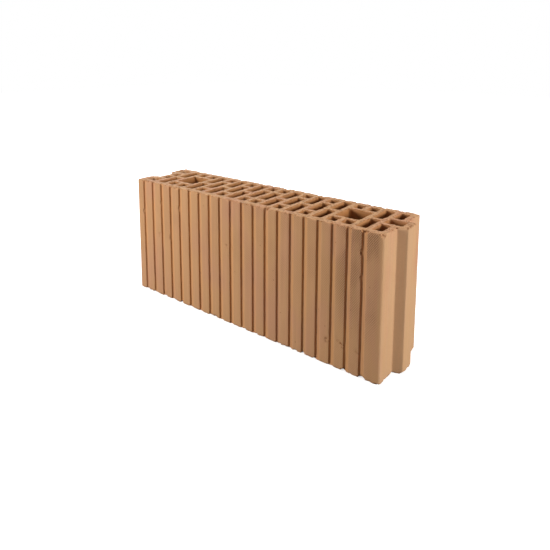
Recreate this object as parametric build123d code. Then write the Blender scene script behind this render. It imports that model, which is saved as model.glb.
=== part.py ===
from build123d import *
from math import isclose
import os

# Perforated clay block, laid as it stands in a wall. Millimetres.
# X runs along the wall, Y through it, Z up. The origin is the middle of the bed face.

# Overall size
laying_length = 498.0  # flat end to flat end, without the tongue
width = 115.0  # thickness of the wall
height = 208.0

# Tongue on the +X end, and the recess on the -X end that takes the next block's tongue
tongue_root = 40.0  # width where it leaves the end face
tongue_crest = 26.0  # width of its outer face
tongue_out = 13.5  # how far it stands out
tongue_corner = 2.5
tongue_side_room = 2.5  # room in the recess on each side of the tongue
tongue_tip_room = 0.8  # room in the recess beyond the tongue

# Grooves that key the plaster, in both long faces
groove_count = 20
groove_depth = 3.0
groove_floor = 4.2
groove_steep = 0.6  # run of the side nearer the recess end
groove_slant = 2.6  # run of the side nearer the tongue end
first_rib = 16.0  # recess end to the first groove
last_rib = 24.3  # last groove to the tongue end

# Cells: holes through the height, in rows across the block
first_row = 28.4  # recess end to the middle of the first row
last_row = 16.5  # middle of the last row to the tongue end
row_web = 7.65  # wall between two rows
cell_corner = 2.6
shell = 12.0  # outer wall in front of and behind the cells
cross_web = 7.0  # wall between two cells of one row
short_cell = 17.5  # along Y, beside each shell in a short-long-short row
end_wall = 9.0  # between an end face and the cells behind it
tongue_wall = 10.5  # between the tongue's outer face and its cell
tongue_cell = 20.0  # along Y
corner_cell = 25.0  # along X, in the two corners of the recess end
recess_cell = 12.5  # along X, the two cells behind the recess
recess_cell_span = 37.0  # along Y, over those two cells and the web between them
upright_edge = 3.0  # rounding of the block's four upright corners

# Row kinds from the recess end to the middle; the other half mirrors them
half_rows = ["end", "pair", "grip", "grip", "pair", "triple", "pair", "triple", "pair", "triple"]

row_kinds = half_rows + half_rows[::-1]
row_pitch = (laying_length - first_row - last_row) / (len(row_kinds) - 1)
cell_width = row_pitch - row_web
groove_width = groove_steep + groove_floor + groove_slant
groove_pitch = (laying_length - first_rib - last_rib - groove_width) / (groove_count - 1)
overall_length = laying_length + tongue_out
recess_face = -overall_length / 2
recess_floor = recess_face + tongue_out + tongue_tip_room
tongue_face = recess_face + laying_length
tongue_tip = tongue_face + tongue_out
inside = width / 2 - shell


def box_cell(x_from, x_to, y_from, y_to):
    """One hole of the section with rounded corners."""
    across = x_to - x_from
    along = y_to - y_from
    corner = min(cell_corner, 0.45 * across, 0.45 * along)
    place = Location(((x_from + x_to) / 2, (y_from + y_to) / 2))
    return place * RectangleRounded(across, along, corner)


def both_sides(x_from, x_to, y_from, y_to):
    """The same hole behind the front shell and behind the back shell."""
    return [box_cell(x_from, x_to, y_from, y_to), box_cell(x_from, x_to, -y_to, -y_from)]


def pair_row(x):
    """Two long cells with one web between them."""
    return both_sides(x - cell_width / 2, x + cell_width / 2, cross_web / 2, inside)


def triple_row(x):
    """A long cell between two short ones."""
    x_from, x_to = x - cell_width / 2, x + cell_width / 2
    middle = inside - short_cell - cross_web
    return [
        *both_sides(x_from, x_to, inside - short_cell, inside),
        box_cell(x_from, x_to, -middle, middle),
    ]


def grip_rows(x_first, x_second):
    """Two rows that share one wide hole for the hand, with short cells beside it."""
    x_from, x_to = x_first - cell_width / 2, x_second + cell_width / 2
    middle = inside - short_cell - cross_web
    holes = [box_cell(x_from, x_to, -middle, middle)]
    for x in (x_first, x_second):
        holes += both_sides(x - cell_width / 2, x + cell_width / 2, inside - short_cell, inside)
    return holes


def recess_end(x_next):
    """A cell in each corner and two small ones behind the recess."""
    stop = x_next - row_pitch + cell_width / 2
    corner_from = recess_face + end_wall
    span = recess_cell_span / 2
    return [
        *both_sides(corner_from, corner_from + corner_cell, inside - short_cell, inside),
        *both_sides(stop - recess_cell, stop, cross_web / 2, span),
    ]


def tongue_end(x_last):
    """A cell beside each shell and one that reaches into the tongue."""
    x_from = x_last - cell_width / 2
    side = tongue_cell / 2 + cross_web
    return [
        *both_sides(x_from, tongue_face - end_wall, side, inside),
        box_cell(x_from, tongue_tip - tongue_wall, -tongue_cell / 2, tongue_cell / 2),
    ]


def cells():
    """All holes of the section, row by row."""
    places = [recess_face + first_row + row_pitch * n for n in range(len(row_kinds))]
    holes = recess_end(places[1]) + tongue_end(places[-1])
    paired = False
    for n, kind in enumerate(row_kinds):
        if kind == "pair":
            holes += pair_row(places[n])
        if kind == "triple":
            holes += triple_row(places[n])
        if kind == "grip" and not paired:
            holes += grip_rows(places[n], places[n + 1])
        paired = kind == "grip" and not paired
    return holes


def key_form(x, side_room=0.0, tip_room=0.0):
    """The tongue's plan on an end face at x, or with room round it the recess that takes it."""
    root = tongue_root / 2 + side_room
    crest = tongue_crest / 2 + side_room
    tip = x + tongue_out + tip_room
    return make_face(Polyline((x, -root), (tip, -crest), (tip, crest), (x, root), close=True))


def key_corners(plan, x):
    """The plan's corners at x that belong to the tongue or the recess."""
    return [v for v in plan.vertices() if isclose(v.X, x, abs_tol=0.01) and abs(v.Y) < tongue_root]


def groove(x):
    """One groove of the front face, from x towards the tongue end."""
    face = -width / 2
    floor_from = x + groove_steep
    floor_to = floor_from + groove_floor
    return make_face(
        Polyline(
            (x, face),
            (floor_from, face + groove_depth),
            (floor_to, face + groove_depth),
            (floor_to + groove_slant, face),
            close=True,
        )
    )


def outline():
    """The block's plan without its cells."""
    middle = (recess_face + tongue_face) / 2
    plan = Location((middle, 0)) * RectangleRounded(laying_length, width, upright_edge)
    plan += key_form(tongue_face)
    plan -= key_form(recess_face, tongue_side_room, tongue_tip_room)
    for x in (tongue_face, tongue_tip, recess_face, recess_floor):
        plan = fillet(key_corners(plan, x), tongue_corner)
    grooves = [groove(recess_face + first_rib + groove_pitch * n) for n in range(groove_count)]
    plan -= grooves
    plan -= [mirror(one, about=Plane.XZ) for one in grooves]
    return plan


section = outline() - cells()
block = extrude(section, amount=height)

os.makedirs("parts", exist_ok=True)
export_step(block, "parts/block.step")
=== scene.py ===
import math
import random

import bmesh
import bpy
import numpy as np
from mathutils import Euler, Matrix, Vector, geometry, kdtree, noise


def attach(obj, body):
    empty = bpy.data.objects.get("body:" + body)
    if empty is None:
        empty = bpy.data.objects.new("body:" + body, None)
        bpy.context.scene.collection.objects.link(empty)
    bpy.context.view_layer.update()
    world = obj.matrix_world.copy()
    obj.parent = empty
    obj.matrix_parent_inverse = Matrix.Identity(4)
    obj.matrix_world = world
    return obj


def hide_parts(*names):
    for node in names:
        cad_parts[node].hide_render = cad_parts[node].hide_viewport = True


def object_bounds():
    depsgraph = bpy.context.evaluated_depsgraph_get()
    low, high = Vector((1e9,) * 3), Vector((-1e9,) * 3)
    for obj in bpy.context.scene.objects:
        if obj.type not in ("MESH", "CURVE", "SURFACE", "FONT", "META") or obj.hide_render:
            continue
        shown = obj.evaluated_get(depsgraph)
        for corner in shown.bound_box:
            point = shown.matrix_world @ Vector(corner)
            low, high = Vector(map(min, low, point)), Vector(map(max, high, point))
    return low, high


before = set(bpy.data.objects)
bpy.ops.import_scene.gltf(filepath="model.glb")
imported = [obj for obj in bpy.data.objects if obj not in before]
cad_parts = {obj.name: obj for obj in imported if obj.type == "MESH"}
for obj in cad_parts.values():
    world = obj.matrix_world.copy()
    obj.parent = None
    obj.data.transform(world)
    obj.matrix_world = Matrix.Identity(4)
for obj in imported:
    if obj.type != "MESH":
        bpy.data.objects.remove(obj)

# Sizes are in metres. MM turns millimetres into them.
MM = 0.001
CAD_BOX = [list(corner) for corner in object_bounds()]
LOW, HIGH = (Vector(corner) for corner in CAD_BOX)
HEIGHT = HIGH.z
FRONT = LOW.y
SEED = 7

# The photograph's frame, and the camera fitted to the block's outline in it
IMAGE = 550
FOCAL_PX = 517.0
CENTRE_PX = (283.3, 137.0)
CAMERA_PLACE = (0.5208, -0.6339, 0.4267)
CAMERA_TURN = (81.474, -0.342, 37.394)
SENSOR = 36

# Limits that tell the section's surfaces apart: distances from the middle plane, and places along the block
RIB_FACE = HIGH.y - 0.6 * MM
GROOVE_MOUTH = HIGH.y - 0.8 * MM
GROOVE_FLOOR = HIGH.y - 3.2 * MM
CELL_SIDE = HIGH.y - 5 * MM
RECESS_BACK = LOW.x + 15 * MM
TONGUE_BACK = HIGH.x - 14 * MM
CELLS_FROM, CELLS_TO = LOW.x + 15.5 * MM, HIGH.x - 15.5 * MM
GROOVES_FROM, GROOVES_TO = LOW.x + 2 * MM, HIGH.x - 20 * MM
SLANTED_NORMAL = -0.4

# Mesh steps. Levels are distances from a cut face in mm. The points of a cut face are moved by up to
# CUT_SCATTER of their step and keep CUT_ROOM of it from the outlines.
SAME = 0.01 * MM
WELD = 0.001 * MM
WALL_STEP = 3.3 * MM
CELL_STEP = 3.3 * MM
CUT_STEP = 2.4 * MM
CUT_SCATTER = 0.3
CUT_ROOM = 0.55
WALL_RISE = 7.0 * MM
EDGE_LEVELS = [0.7, 1.6, 2.8, 4.4, 6.6, 9.4]
CELL_RISE = 60.0 * MM
CELL_LEVELS = [0.8, 2.0, 4.0, 7.5, 14.0, 30.0]

# Corners of the outer outline that turn more than CORNER_TURN get an arc, the blunt ones a longer one.
# Edges of the mesh sharper than SHARP_TURN are shaded sharp.
HARD_EDGE = 0.8 * MM
SOFT_EDGE = 3.6 * MM
EDGE_SHARE = 0.26
CORNER_TURN = math.radians(25)
SOFT_TURN = math.radians(60)
SHARP_TURN = math.radians(48)

# Wear. Depths are in mm. A noise is its amount where it has one, its size and its seed.
OUTER_SWAY = 0.20
CELL_SWAY = 0.40
SWAY_ALONG = (13 * MM, 3.1)
SWAY_THROUGH = (17 * MM, 9.4)
THROUGH_SHARE = 0.6
ARRIS_REACH = 2.6 * MM
ARRIS_DEPTH = 0.50
ARRIS_NOISE = (0.55, 3.5 * MM, 5.0)
CELL_ARRIS_SHARE = 0.4
BURR_REACH = 2.4 * MM
BURR_SIZE = 2.0
BURR_NOISE = (2.2, 6 * MM, 2.9)
BURR_LIMIT = 0.85
RIM_REACH = 7 * MM
RIM_NOISES = [(0.9, 6.5 * MM, 6.3), (0.8, 2.6 * MM, 4.4)]
TORN_REACH = 3.4 * MM
TORN_AMOUNT = 0.40
TORN_NOISE = (2.8, 4.5 * MM, 1.1)
DIP_DEPTH = 0.10
DIP_NOISE = (0.16, 4 * MM, 1.7)
WAVE_NOISE = (0.14, 19 * MM, 2.2)
RIM_DIP_DEPTH = 0.14
RIM_DIP_NOISE = (0.32, 3 * MM, 8.8)

# Damage on the front: along from the recess end, height, the same at its other end, reach, depth, in mm
RIB_CHIPS = [
    (15.8, 150, 15.8, 152, 2.3, 1.6), (63.4, 173, 63.4, 175, 2.0, 1.3), (87.1, 112, 87.1, 114, 2.0, 1.3),
    (110.8, 172, 110.8, 174, 2.2, 1.4), (466.3, 176, 466.3, 177, 2.5, 1.6),
    (466.3, 142, 466.3, 144, 2.2, 1.3),
]
GOUGES = [
    (413, 38.5, 418, 36.0, 1.6, 1.3), (433, 42.5, 442, 37.5, 1.9, 1.0), (462, 35.5, 467, 34.0, 1.5, 1.3),
    (222, 132, 225, 130, 1.8, 1.2), (209, 131, 211, 130, 1.6, 1.0), (57, 116, 58, 115, 1.5, 0.9),
    (61, 118, 61, 117, 1.3, 0.8), (54, 117, 54, 117, 1.2, 0.8), (236, 128, 238, 127, 1.4, 1.0),
]
CORNER_CHIPS = [(498, 208, 498, 208, 5.5, 2.2)]

# Each kind of damage with the way the clay went in. The mesh is divided more finely within REFINED of it.
FRONT_MARKS = [(RIB_CHIPS, (-0.75, 0.66, 0)), (GOUGES, (0, 1, 0)), (CORNER_CHIPS, (-0.4, 0.7, -0.6))]
FRONT_CUTS = 3
REFINED = 6.0 * MM

# Random chips along the arrises: reach in mm, with a few larger ones, and depth as a share of it
CHIPS_PER_EDGE = 210
CHIP_TILT = 0.6
CHIP_REACH = (1.4, 2.8)
LARGE_CHIP, LARGE_CHIP_RARITY = 3.0, 8
CHIP_DEPTH = (0.15, 0.42)

# All damage: how soon it is at full depth, its noise, the most a point moves, and the move that is fully torn
MARK_FULLNESS = 1.7
MARK_NOISE = (0.4, 1.3 * MM, 7.7)
DEEPEST_MARK = 3.2 * MM
TORN_MARK = 1.0 * MM

# Fired clay
CLAY = (0.560, 0.302, 0.143, 1)
CLAY_SMOOTH = (0.572, 0.340, 0.183, 1)
CLAY_CUT = (0.545, 0.305, 0.148, 1)
# Painted light: a lighter, more saturated copy of the clay for a groove's steep side and floor, lifting their
# shade
CLAY_GROOVE_PAINTED_LIGHT = (0.640, 0.325, 0.137, 1)
CLAY_PINK = (0.545, 0.275, 0.155, 1)
CLAY_YELLOW = (0.555, 0.322, 0.150, 1)
CLAY_DARK = (0.225, 0.074, 0.020, 1)
CLAY_LIGHT = (0.700, 0.370, 0.200, 1)
# Painted shade: a darker clay colour that cell walls and the grooves' slanted sides are blended towards
CLAY_PAINTED_SHADE = (0.360, 0.140, 0.035, 1)
GLOSS = 0.2

# Noises in the clay, as size, detail and stretch, and the relief that some of them give
PATCH = (0.05, 2, (1, 1, 0.5))
STREAK = (0.014, 3, (1, 1, 0.07))
LINE = (0.0035, 1, (1, 1, 0.025))
GRIT = (0.0018, 4)
HOLLOW = (0.0032, 2)
MATT = (0.004,)
FINE_RELIEF, FINE_HEIGHT = (0.0014, 5), 0.06 * MM
DRAWN_RELIEF, DRAWN_HEIGHT = (0.0022, 2, (1, 1, 0.05)), 0.10 * MM
TEARS, CUT_RELIEF = (0.0034, 4, (1, 0.7, 1)), 0.55 * MM

# Tints: the values where one begins and is full, its full share, and its colour
PATCH_TINT = (0.46, 0.68, 0.8, CLAY_PINK)
STREAK_TINT = (0.50, 0.72, 0.5, CLAY_YELLOW)
LINE_TINT = (0.50, 0.75, 0.25, CLAY_LIGHT)
GRIT_LIGHT_TINT = (0.52, 0.75, 0.11, CLAY_LIGHT)
GRIT_DARK_TINT = (0.46, 0.25, 0.11, CLAY_DARK)
TEAR_TINT = (0.55, 0.0, 0.62, CLAY_DARK)
# Painted shade in the rolled net's valleys and painted highlight on its crests
VALLEY_PAINTED_SHADE = (0.0, -1.6, 0.62, CLAY_DARK)
CREST_PAINTED_HIGHLIGHT = (0.0, 1.6, 1.0, CLAY_LIGHT)
# Painted shade on a groove's slanted side, below the top 0.3 mm of its depth
GROOVE_PAINTED_SHADE = (0.3 * MM, 0.9 * MM, 0.50, CLAY_PAINTED_SHADE)

# Ranges: the values between which something changes, and what it is at each
GRAIN_SPOT = (0.05, 0.09, 0.6, 0)
HOLLOW_SHARE = (0.44, 0.60, 0.10, 0.85)
TEAR_DEPTH = (0.36, 0.60, 0, 1)
# CELL_SHADE is the share of painted shade on the cell walls, from the cut faces to 5.5 mm below them
CELL_SHADE = (0, 5.5 * MM, 0.42, 0.82)
ROUGHNESS = (0.3, 0.7, 0.84, 0.96)
GRAIN_SCALE = 75.0
GRAIN_CHANCE = 0.7

# The rolled net: worn off in patches, clear towards the tongue end, fading downwards and at the arris
KNURL_WIDTH = 2.75 * MM
KNURL_TALL = 3.75 * MM
KNURL_HEIGHT = 0.34 * MM
KNURL_CROSSING = 0.45
KNURL_PATCH = (0.040, 2, (1, 1, 0.6))
KNURL_FAINT = (0.40, 0.58, 0.09, 0.50)
KNURL_CLEAR = (0.34, 0.50, 0.22, 0.75)
KNURL_END = (0.15, 0.185, 0, 1.7)
KNURL_DOWN = (0.05, 0.12, 0.2, 1)
KNURL_ARRIS = (0.233, 0.239, 1, 0.1)

# Light: name, place, target, size and power of each lamp
WORLD_LIGHT = 0.10
LAMPS = [
    ("key_front_left", (-0.50, -0.94, 0.45), (-0.02, -0.05, 0.1), 0.24, 9.5),
    ("side_right", (1.85, 0.10, 0.66), (0.25, 0, 0.1), 0.45, 29),
    ("back_left", (-1.5, 1.20, 0.55), (0, 0.05, 0.1), 0.9, 32),
    ("top", (0.0, 0.0, 2.2), (0, 0, 0.2), 0.4, 15.5),
]

# Floor: its own grey, the grey that lights the block, and the white added near the block and far from it
FLOOR_GREY = 0.86
FLOOR_BOUNCE = 0.15
FLOOR_LIFT = 0.62
FLOOR_NEAR, FLOOR_FAR = 0.5, 1.4
FLOOR_HALF = 6.0
FLOOR_ROUGHNESS = 0.9
FLOOR_GAP = 0.2 * MM

# The clays in the order of the block's material slots
DRAWN, KNURLED, CUT, CELL, SLANTED, GROOVE = range(6)


def section_loops(node):
    """The section's outlines as closed lists of (x, y), read from the top face of the CAD block."""
    edges = set()
    for face in node.data.polygons:
        points = [node.matrix_world @ node.data.vertices[i].co for i in face.vertices]
        if min(p.z for p in points) < HEIGHT - SAME:
            continue
        keys = [(round(p.x / SAME), round(p.y / SAME)) for p in points]
        for a, b in zip(keys, keys[1:] + keys[:1]):
            if (b, a) in edges:
                edges.remove((b, a))
            else:
                edges.add((a, b))
    following = dict(edges)
    loops = []
    while following:
        start, here = following.popitem()
        loop = [start]
        while here != start:
            loop.append(here)
            here = following.pop(here)
        loops.append([Vector((x * SAME, y * SAME)) for x, y in loop])
    return sorted(loops, key=lambda loop: min(p.x for p in loop))


def soften(loop):
    """The loop with its sharp corners turned into small arcs, as drawn clay has them."""
    points = []
    for before, here, after in zip(loop[-1:] + loop[:-1], loop, loop[1:] + loop[:1]):
        back, on = before - here, after - here
        turn = math.pi - back.angle(on)
        if turn < CORNER_TURN:
            points.append(here)
            continue
        cut = SOFT_EDGE if turn < SOFT_TURN else HARD_EDGE
        first = here + back.normalized() * min(cut, EDGE_SHARE * back.length)
        last = here + on.normalized() * min(cut, EDGE_SHARE * on.length)
        points += [first, 0.5 * here + 0.25 * (first + last), last]
    return points


def divide(loop, step):
    """The loop with points added so that none of its sides is longer than step."""
    points = []
    for a, b in zip(loop, loop[1:] + loop[:1]):
        count = max(1, math.ceil((b - a).length / step))
        points += [a.lerp(b, n / count) for n in range(count)]
    return points


def inside(points, loops):
    """Which of the points lie in the clay, by counting the outlines crossed."""
    x, y = points[:, 0:1], points[:, 1:2]
    hits = np.zeros(len(points), int)
    for loop in loops:
        a = np.array(loop)
        b = np.roll(a, -1, axis=0)
        crosses = (a[:, 1] > y) != (b[:, 1] > y)
        rise = np.where(b[:, 1] == a[:, 1], 1.0, b[:, 1] - a[:, 1])
        at = a[:, 0] + (y - a[:, 1]) * (b[:, 0] - a[:, 0]) / rise
        hits += (crosses & (x < at)).sum(axis=1)
    return hits % 2 == 1


def cut_points(loops, shuffle):
    """Points spread over the cut face between the outlines."""
    near = kdtree.KDTree(sum(len(loop) for loop in loops))
    for n, point in enumerate(p for loop in loops for p in loop):
        near.insert(point.to_3d(), n)
    near.balance()
    grid = []
    for column in range(int((HIGH.x - LOW.x) / CUT_STEP)):
        for row in range(int((HIGH.y - LOW.y) / CUT_STEP)):
            x = LOW.x + (column + 0.5 + shuffle.uniform(-CUT_SCATTER, CUT_SCATTER)) * CUT_STEP
            y = LOW.y + (row + 0.5 + shuffle.uniform(-CUT_SCATTER, CUT_SCATTER)) * CUT_STEP
            if near.find((x, y, 0))[2] > CUT_ROOM * CUT_STEP:
                grid.append((x, y))
    grid = np.array(grid)
    return [Vector(p) for p in grid[inside(grid, loops)]]


def cut_face(loops, extra):
    """Triangles between the outlines, as indices into all outline points followed by extra."""
    points = [p for loop in loops for p in loop] + extra
    sides, owner, start = [], [], 0
    for number, loop in enumerate(loops):
        count = len(loop)
        sides += [(start + n, start + (n + 1) % count) for n in range(count)]
        owner += [number] * count
        start += count
    owner += [-1] * len(extra)
    made = geometry.delaunay_2d_cdt(points, sides, [], 1, WELD)
    source = [old[0] for old in made[3]]
    triangles = []
    for face in made[2]:
        a, b, c = (source[n] for n in face)
        in_hole = owner[a] == owner[b] == owner[c] and owner[a] > 0
        if not in_hole:
            triangles.append((a, b, c))
    return points, triangles


def levels(edge_steps, rise):
    """Heights of the rows of points on a wall, close together near both cut faces."""
    ends = [step * MM for step in edge_steps]
    middle = HEIGHT - 2 * ends[-1]
    count = max(1, round(middle / rise))
    between = [ends[-1] + middle * n / count for n in range(1, count)]
    return ends + between + [HEIGHT - step for step in reversed(ends)]


def block_mesh(outlines, shuffle):
    """Vertices, faces, and each vertex's outward direction in plan, which is zero away from the walls."""
    points, triangles = cut_face(outlines, cut_points(outlines, shuffle))
    count = len(points)
    verts = [Vector((p.x, p.y, z)) for z in (0.0, HEIGHT) for p in points]
    faces = [(c, b, a) for a, b, c in triangles]
    faces += [(a + count, b + count, c + count) for a, b, c in triangles]
    out = [Vector((0, 0, 0))] * (2 * count)
    start = 0
    for number, outline in enumerate(outlines):
        size = len(outline)
        heights = levels(CELL_LEVELS, CELL_RISE) if number else levels(EDGE_LEVELS, WALL_RISE)
        along = [outline[(n + 1) % size] - outline[n - 1] for n in range(size)]
        outward = [Vector((side.y, -side.x, 0)).normalized() for side in along]
        rows = [list(range(start, start + size))]
        for z in heights:
            rows.append(list(range(len(verts), len(verts) + size)))
            verts += [Vector((p.x, p.y, z)) for p in outline]
            out += outward
        rows.append(list(range(start + count, start + count + size)))
        for n in range(size):
            out[rows[0][n]] = out[rows[-1][n]] = outward[n]
        for lower, upper in zip(rows, rows[1:]):
            for n in range(size):
                m = (n + 1) % size
                faces.append((lower[n], lower[m], upper[m], upper[n]))
        start += size
    return verts, faces, out


def rough(place, size, seed):
    """Smooth noise of that size in metres, from -1 to 1."""
    return noise.noise(place / size + Vector((seed, -seed, 2 * seed)))


def uneven(place, layer):
    """The noise of a layer that is given as its amount, size and seed."""
    amount, size, seed = layer
    return amount * rough(place, size, seed)


def fade(distance, reach):
    """1 at no distance, falling to 0 at reach."""
    return max(0.0, 1 - distance / reach)


def wall_shift(place, side, from_cut):
    """How far a point of a wall has moved, in mm: waves, worn arrises, burrs and ragged rims."""
    outer = abs(place.y) > GROOVE_FLOOR or place.x < RECESS_BACK or place.x > TONGUE_BACK
    sway = OUTER_SWAY if outer else CELL_SWAY
    shift = Vector((0, 0, 0))
    shift.x += sway * rough(place, *SWAY_ALONG)
    shift.y += THROUGH_SHARE * sway * rough(place, *SWAY_THROUGH)
    arris = fade(from_cut, ARRIS_REACH) ** 2
    depth = ARRIS_DEPTH + uneven(place, ARRIS_NOISE)
    shift -= side * arris * depth * (1.0 if outer else CELL_ARRIS_SHARE)
    if GROOVE_FLOOR < abs(place.y) < GROOVE_MOUTH:
        burr = fade(from_cut, BURR_REACH) * (BURR_SIZE + uneven(place, BURR_NOISE))
        shift.y += math.copysign(min(burr, BURR_LIMIT * (HIGH.y - abs(place.y)) / MM), place.y)
    if not outer:
        ragged = fade(from_cut, RIM_REACH)
        shift += side * ragged * sum(uneven(place, layer) for layer in RIM_NOISES)
    return shift


def weathered(verts, out):
    """The vertices with the waviness of drawn clay, worn arrises and torn cuts, and how torn each is."""
    moved, torn = [], []
    for place, side in zip(verts, out):
        from_cut = min(place.z, HEIGHT - place.z)
        on_wall = side.length > 0
        shift = wall_shift(place, side, from_cut) if on_wall else Vector((0, 0, 0))
        rag = TORN_AMOUNT + uneven(place, TORN_NOISE) if on_wall else 0.0
        torn.append(min(1.0, max(0.0, rag) * fade(from_cut, TORN_REACH)))
        if from_cut < SAME:
            dip = DIP_DEPTH + uneven(place, DIP_NOISE) + uneven(place, WAVE_NOISE)
            if on_wall:
                dip += RIM_DIP_DEPTH + uneven(place, RIM_DIP_NOISE)
            inward = 1 if place.z < HEIGHT / 2 else -1
            shift.z += inward * max(0.0, dip)
        moved.append(place + shift * MM)
    return moved, torn


def edge_chips(outline, shuffle):
    """Small breaks along both outer arrises: both ends, reach, depth and the way the clay went in."""
    chips = []
    for height in (0.0, HEIGHT):
        for n in range(CHIPS_PER_EDGE):
            index = shuffle.randrange(len(outline))
            here = outline[index]
            side = outline[(index + 1) % len(outline)] - here
            inward = Vector((-side.y, side.x, 0)).normalized()
            inward.z = CHIP_TILT if height == 0 else -CHIP_TILT
            reach = shuffle.uniform(*CHIP_REACH) + LARGE_CHIP * shuffle.random() ** LARGE_CHIP_RARITY
            place = Vector((here.x, here.y, height))
            chips.append((place, place, reach * MM, reach * shuffle.uniform(*CHIP_DEPTH) * MM, inward))
    return chips


def front_damage():
    """The breaks and scratches seen on the front, as edge_chips gives them."""
    damage = []
    for marks, inward in FRONT_MARKS:
        for x1, z1, x2, z2, reach, depth in marks:
            ends = [Vector((LOW.x + x * MM, FRONT, z * MM)) for x, z in ((x1, z1), (x2, z2))]
            damage.append((*ends, reach * MM, depth * MM, Vector(inward)))
    return damage


def nearness(place, first, last, reach):
    """1 on the line between first and last, falling to 0 at reach from it and below 0 beyond."""
    along = last - first
    part = 0.0
    if along.length > 0:
        part = min(1.0, max(0.0, (place - first).dot(along) / along.length_squared))
    return 1 - (place - first - along * part).length / reach


def refine(work, marks, cuts):
    """Divide the mesh more finely near the marks."""
    near = set()
    for first, last, *_ in marks:
        near.update(v for v in work.verts if nearness(v.co, first, last, REFINED) > 0)
    edges = [e for e in work.edges if e.verts[0] in near and e.verts[1] in near]
    bmesh.ops.subdivide_edges(work, edges=edges, cuts=cuts, use_grid_fill=True)
    large = [face for face in work.faces if len(face.verts) > 4]
    bmesh.ops.triangulate(work, faces=large, quad_method="BEAUTY", ngon_method="BEAUTY")


def damaged(mesh, marks, cuts=0):
    """Push the clay in at each mark, with cuts more points along each edge there, and note how torn it is."""
    work = bmesh.new()
    work.from_mesh(mesh)
    torn = work.verts.layers.float["torn"]
    if cuts:
        refine(work, marks, cuts)
    work.verts.ensure_lookup_table()
    tree = kdtree.KDTree(len(work.verts))
    for vert in work.verts:
        tree.insert(vert.co, vert.index)
    tree.balance()
    shifts = {}
    for first, last, reach, depth, inward in marks:
        for place, index, distance in tree.find_range((first + last) / 2, reach + (last - first).length / 2):
            amount = nearness(place, first, last, reach)
            if amount > 0:
                amount = min(1.0, MARK_FULLNESS * amount) * (1 + uneven(place, MARK_NOISE))
                shifts[index] = shifts.get(index, Vector((0, 0, 0))) + inward * depth * amount
    for index, shift in shifts.items():
        vert = work.verts[index]
        vert.co += shift * min(1.0, DEEPEST_MARK / shift.length)
        vert[torn] = max(vert[torn], min(1.0, shift.length / TORN_MARK))
    work.to_mesh(mesh)
    work.free()


def add(tree, kind, inputs=None, **settings):
    """A new node with its settings, and its inputs set or linked."""
    made = tree.nodes.new(kind)
    for name, value in settings.items():
        setattr(made, name, value)
    for name, value in (inputs or {}).items():
        if isinstance(value, bpy.types.NodeSocket):
            tree.links.new(value, made.inputs[name])
        else:
            made.inputs[name].default_value = value
    return made


def calc(tree, operation, a, b=0.0, c=0.0):
    """The result of a Math node."""
    return add(tree, "ShaderNodeMath", {0: a, 1: b, 2: c}, operation=operation).outputs[0]


def split(tree, place):
    """The x, y and z of a place."""
    return add(tree, "ShaderNodeSeparateXYZ", {"Vector": place}).outputs


def cloud(tree, place, size, detail=3.0, stretch=(1, 1, 1)):
    """Noise from 0 to 1 whose features are about size metres across."""
    scaled = add(tree, "ShaderNodeMapping", {"Vector": place, "Scale": stretch}).outputs[0]
    made = add(tree, "ShaderNodeTexNoise", {"Vector": scaled, "Scale": 1 / size, "Detail": detail})
    return made.outputs["Fac"]


def limits(tree, value, low, high, first=0.0, last=1.0):
    """value between low and high, turned into first to last."""
    inputs = {"Value": value, "From Min": low, "From Max": high, "To Min": first, "To Max": last}
    return add(tree, "ShaderNodeMapRange", inputs, clamp=True).outputs[0]


def blend_colour(tree, amount, first, second):
    """first turned into second by amount."""
    return add(tree, "ShaderNodeMix", {0: amount, 6: first, 7: second}, data_type="RGBA").outputs[2]


def tint(tree, colour, value, low, high, share, second):
    """colour turned into second, from not at all where value is low to that share where it is high."""
    return blend_colour(tree, limits(tree, value, low, high, 0, share), colour, second)


def clay_colour(tree, place, torn, base):
    """Fired clay: pink and yellow patches, streaks along the drawing, grit, a few grains and torn spots,
    darkened partly as darker broken clay and partly as painted shade in the chips.
    """
    colour = tint(tree, base, cloud(tree, place, *PATCH), *PATCH_TINT)
    colour = tint(tree, colour, cloud(tree, place, *STREAK), *STREAK_TINT)
    colour = tint(tree, colour, cloud(tree, place, *LINE), *LINE_TINT)
    grit = cloud(tree, place, *GRIT)
    colour = tint(tree, colour, grit, *GRIT_LIGHT_TINT)
    colour = tint(tree, colour, grit, *GRIT_DARK_TINT)
    grain = add(tree, "ShaderNodeTexVoronoi", {"Vector": place, "Scale": GRAIN_SCALE})
    chance = add(tree, "ShaderNodeSeparateColor", {0: grain.outputs["Color"]}).outputs[0]
    chosen = calc(tree, "GREATER_THAN", chance, GRAIN_CHANCE)
    spot = limits(tree, grain.outputs["Distance"], *GRAIN_SPOT)
    colour = blend_colour(tree, calc(tree, "MULTIPLY", spot, chosen), colour, CLAY_DARK)
    # Torn spots darkened, partly as darker broken clay and partly as painted shade in the chips
    torn_darkness_and_shade = limits(tree, cloud(tree, place, *HOLLOW), *HOLLOW_SHARE)
    return blend_colour(tree, calc(tree, "MULTIPLY", torn_darkness_and_shade, torn), colour, CLAY_DARK)


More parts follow.
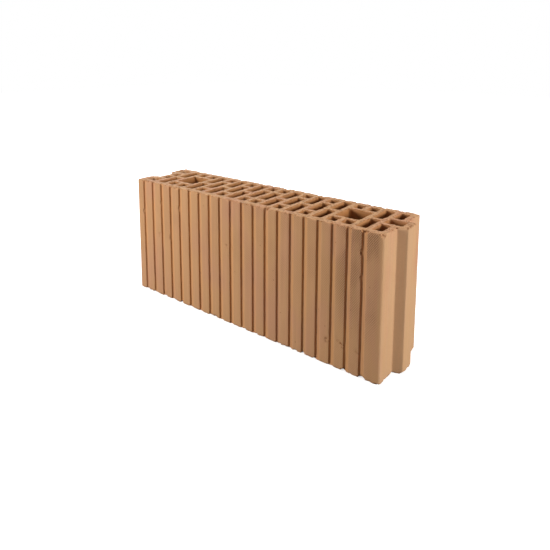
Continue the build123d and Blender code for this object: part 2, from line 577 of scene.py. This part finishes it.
def knurl_relief(tree, place):
    """The rolled net as a height around 0: one set of slanted ridges, crossed by a weaker one."""
    axes = split(tree, place)
    across = calc(tree, "MULTIPLY", axes[0], 2 * math.pi / KNURL_WIDTH)
    up = calc(tree, "MULTIPLY", axes[2], 2 * math.pi / KNURL_TALL)
    rising = calc(tree, "SINE", calc(tree, "SUBTRACT", across, up))
    falling = calc(tree, "SINE", calc(tree, "ADD", across, up))
    net = calc(tree, "MULTIPLY_ADD", falling, KNURL_CROSSING, rising)
    worn = cloud(tree, place, *KNURL_PATCH)
    clear = calc(tree, "MULTIPLY", limits(tree, worn, *KNURL_CLEAR), limits(tree, axes[0], *KNURL_END))
    strength = calc(tree, "MAXIMUM", limits(tree, worn, *KNURL_FAINT), clear)
    strength = calc(tree, "MULTIPLY", strength, limits(tree, axes[2], *KNURL_DOWN))
    strength = calc(tree, "MULTIPLY", strength, limits(tree, axes[0], *KNURL_ARRIS))
    return calc(tree, "MULTIPLY", net, strength)


def clay_material(name, base, knurled=False, cut=False, in_cell=False, slanted=False):
    """Matt fired clay: with the rolled net, with painted shade in its valleys and painted highlight on its
    crests, with a cut's tears, or with painted shade deep in a cell or on a groove's slanted side.
    """
    material = bpy.data.materials.new(name)
    material.use_nodes = True
    tree = material.node_tree
    shader = tree.nodes["Principled BSDF"]
    place = add(tree, "ShaderNodeTexCoord").outputs["Object"]
    torn = add(tree, "ShaderNodeAttribute", attribute_name="torn").outputs["Fac"]
    colour = clay_colour(tree, place, torn, base)
    fine = calc(tree, "MULTIPLY", cloud(tree, place, *FINE_RELIEF), FINE_HEIGHT)
    drawn = calc(tree, "MULTIPLY", cloud(tree, place, *DRAWN_RELIEF), DRAWN_HEIGHT)
    height = calc(tree, "ADD", fine, drawn)
    if in_cell:
        # Painted shade: cell walls blended towards a darker colour, more with depth below the cut faces
        level = split(tree, place)[2]
        depth = calc(tree, "MINIMUM", level, calc(tree, "SUBTRACT", HEIGHT, level))
        colour = blend_colour(tree, limits(tree, depth, *CELL_SHADE), colour, CLAY_PAINTED_SHADE)
    if slanted:
        # Painted shade: the slanted side of a groove darkened below its mouth
        depth = calc(tree, "SUBTRACT", HIGH.y, calc(tree, "ABSOLUTE", split(tree, place)[1]))
        colour = tint(tree, colour, depth, *GROOVE_PAINTED_SHADE)
    if cut:
        tears = limits(tree, cloud(tree, place, *TEARS), *TEAR_DEPTH)
        height = calc(tree, "MULTIPLY_ADD", tears, CUT_RELIEF, height)
        colour = tint(tree, colour, tears, *TEAR_TINT)
    if knurled:
        relief = knurl_relief(tree, place)
        height = calc(tree, "MULTIPLY_ADD", relief, KNURL_HEIGHT, height)
        # Painted shade in the net's valleys and painted highlight on its crests
        colour = tint(tree, colour, relief, *VALLEY_PAINTED_SHADE)
        colour = tint(tree, colour, relief, *CREST_PAINTED_HIGHLIGHT)
    tree.links.new(colour, shader.inputs["Base Color"])
    roughness = limits(tree, cloud(tree, place, *MATT), *ROUGHNESS)
    tree.links.new(roughness, shader.inputs["Roughness"])
    shader.inputs["Specular IOR Level"].default_value = GLOSS
    bump = add(tree, "ShaderNodeBump", {"Height": height, "Strength": 1.0, "Distance": 1.0})
    tree.links.new(bump.outputs[0], shader.inputs["Normal"])
    return material


def clay_slot(places, normal):
    """The material slot of a face, from its corners on the unworn block and its normal."""
    here = places[0]
    if len(places) == 3:
        return CUT
    if min(abs(place.y) for place in places) > RIB_FACE:
        return KNURLED
    if abs(here.y) < CELL_SIDE and CELLS_FROM < here.x < CELLS_TO:
        return CELL
    if abs(here.y) > GROOVE_FLOOR and GROOVES_FROM < here.x < GROOVES_TO:
        return SLANTED if normal.x < SLANTED_NORMAL else GROOVE
    return DRAWN


def make_block():
    """The block with its worn surface, in place of the plain CAD solid."""
    shuffle = random.Random(SEED)
    loops = section_loops(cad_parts["block"])
    outlines = [divide(soften(loops[0]), WALL_STEP)] + [divide(loop, CELL_STEP) for loop in loops[1:]]
    verts, faces, out = block_mesh(outlines, shuffle)
    mesh = bpy.data.meshes.new("clay_block")
    moved, torn = weathered(verts, out)
    mesh.from_pydata(moved, [], faces)
    mesh.attributes.new("torn", "FLOAT", "POINT").data.foreach_set("value", torn)
    for material in (
        clay_material("drawn_clay", CLAY_SMOOTH),
        clay_material("knurled_clay_painted_shade_and_highlight", CLAY, knurled=True),
        clay_material("cut_clay", CLAY_CUT, cut=True),
        clay_material("cell_clay_painted_shade", CLAY, in_cell=True),
        clay_material("slanted_clay_painted_shade", CLAY, slanted=True),
        clay_material("groove_clay_painted_light", CLAY_GROOVE_PAINTED_LIGHT),
    ):
        mesh.materials.append(material)
    for face, corners in zip(mesh.polygons, faces):
        face.material_index = clay_slot([verts[n] for n in corners], face.normal)
    damaged(mesh, edge_chips(outlines[0], shuffle))
    damaged(mesh, front_damage(), FRONT_CUTS)
    mesh.shade_smooth()
    mesh.set_sharp_from_angle(angle=SHARP_TURN)
    piece = bpy.data.objects.new("clay_block", mesh)
    bpy.context.scene.collection.objects.link(piece)
    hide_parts("block")
    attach(piece, "root")


def background_rays(tree):
    """1 for rays that show the surroundings themselves, 0 for those that light the block."""
    path = add(tree, "ShaderNodeLightPath").outputs
    seen = calc(tree, "MAXIMUM", path["Is Camera Ray"], path["Is Glossy Ray"])
    return calc(tree, "MAXIMUM", seen, path["Is Transmission Ray"])


def make_floor():
    """A white floor that keeps the block's shadow."""
    material = bpy.data.materials.new("studio_floor")
    material.use_nodes = True
    tree = material.node_tree
    shader = tree.nodes["Principled BSDF"]
    seen = background_rays(tree)
    shade = limits(tree, seen, 0, 1, FLOOR_BOUNCE, FLOOR_GREY)
    grey = add(tree, "ShaderNodeCombineColor", {0: shade, 1: shade, 2: shade}).outputs[0]
    tree.links.new(grey, shader.inputs["Base Color"])
    shader.inputs["Roughness"].default_value = FLOOR_ROUGHNESS
    shader.inputs["Specular IOR Level"].default_value = 0.0
    shader.inputs["Emission Color"].default_value = (1, 1, 1, 1)
    place = add(tree, "ShaderNodeTexCoord").outputs["Object"]
    away = add(tree, "ShaderNodeVectorMath", {0: place}, operation="LENGTH").outputs["Value"]
    lift = limits(tree, away, FLOOR_NEAR, FLOOR_FAR, FLOOR_LIFT, 1.0)
    tree.links.new(calc(tree, "MULTIPLY", seen, lift), shader.inputs["Emission Strength"])
    mesh = bpy.data.meshes.new("studio_floor")
    corners = [(x * FLOOR_HALF, y * FLOOR_HALF) for x, y in ((-1, -1), (1, -1), (1, 1), (-1, 1))]
    mesh.from_pydata([(x, y, LOW.z - FLOOR_GAP) for x, y in corners], [], [(0, 1, 2, 3)])
    mesh.materials.append(material)
    floor = bpy.data.objects.new("studio_floor", mesh)
    bpy.context.scene.collection.objects.link(floor)


def lamp(name, place, target, size, power):
    """A square soft box at place that looks at target."""
    light = bpy.data.lights.new(name, "AREA")
    light.shape = "SQUARE"
    light.size = size
    light.energy = power
    made = bpy.data.objects.new(name, light)
    made.location = place
    aim = Vector(target) - Vector(place)
    made.rotation_euler = aim.to_track_quat("-Z", "Y").to_euler()
    bpy.context.scene.collection.objects.link(made)


def studio():
    """White surroundings and the soft boxes."""
    world = bpy.data.worlds.new("studio")
    world.use_nodes = True
    tree = world.node_tree
    back = tree.nodes["Background"]
    back.inputs["Color"].default_value = (1, 1, 1, 1)
    tree.links.new(limits(tree, background_rays(tree), 0, 1, WORLD_LIGHT, 1.0), back.inputs["Strength"])
    bpy.context.scene.world = world
    for settings in LAMPS:
        lamp(*settings)


def make_camera():
    """The camera of the photograph."""
    data = bpy.data.cameras.new("camera")
    data.sensor_width = SENSOR
    data.lens = FOCAL_PX / IMAGE * data.sensor_width
    data.shift_x = (IMAGE / 2 - CENTRE_PX[0]) / IMAGE
    data.shift_y = (CENTRE_PX[1] - IMAGE / 2) / IMAGE
    made = bpy.data.objects.new("camera", data)
    made.location = CAMERA_PLACE
    made.rotation_euler = Euler([math.radians(angle) for angle in CAMERA_TURN])
    bpy.context.scene.collection.objects.link(made)
    bpy.context.scene.camera = made


make_block()
make_floor()
studio()
make_camera()
bpy.context.scene.view_settings.view_transform = "Standard"
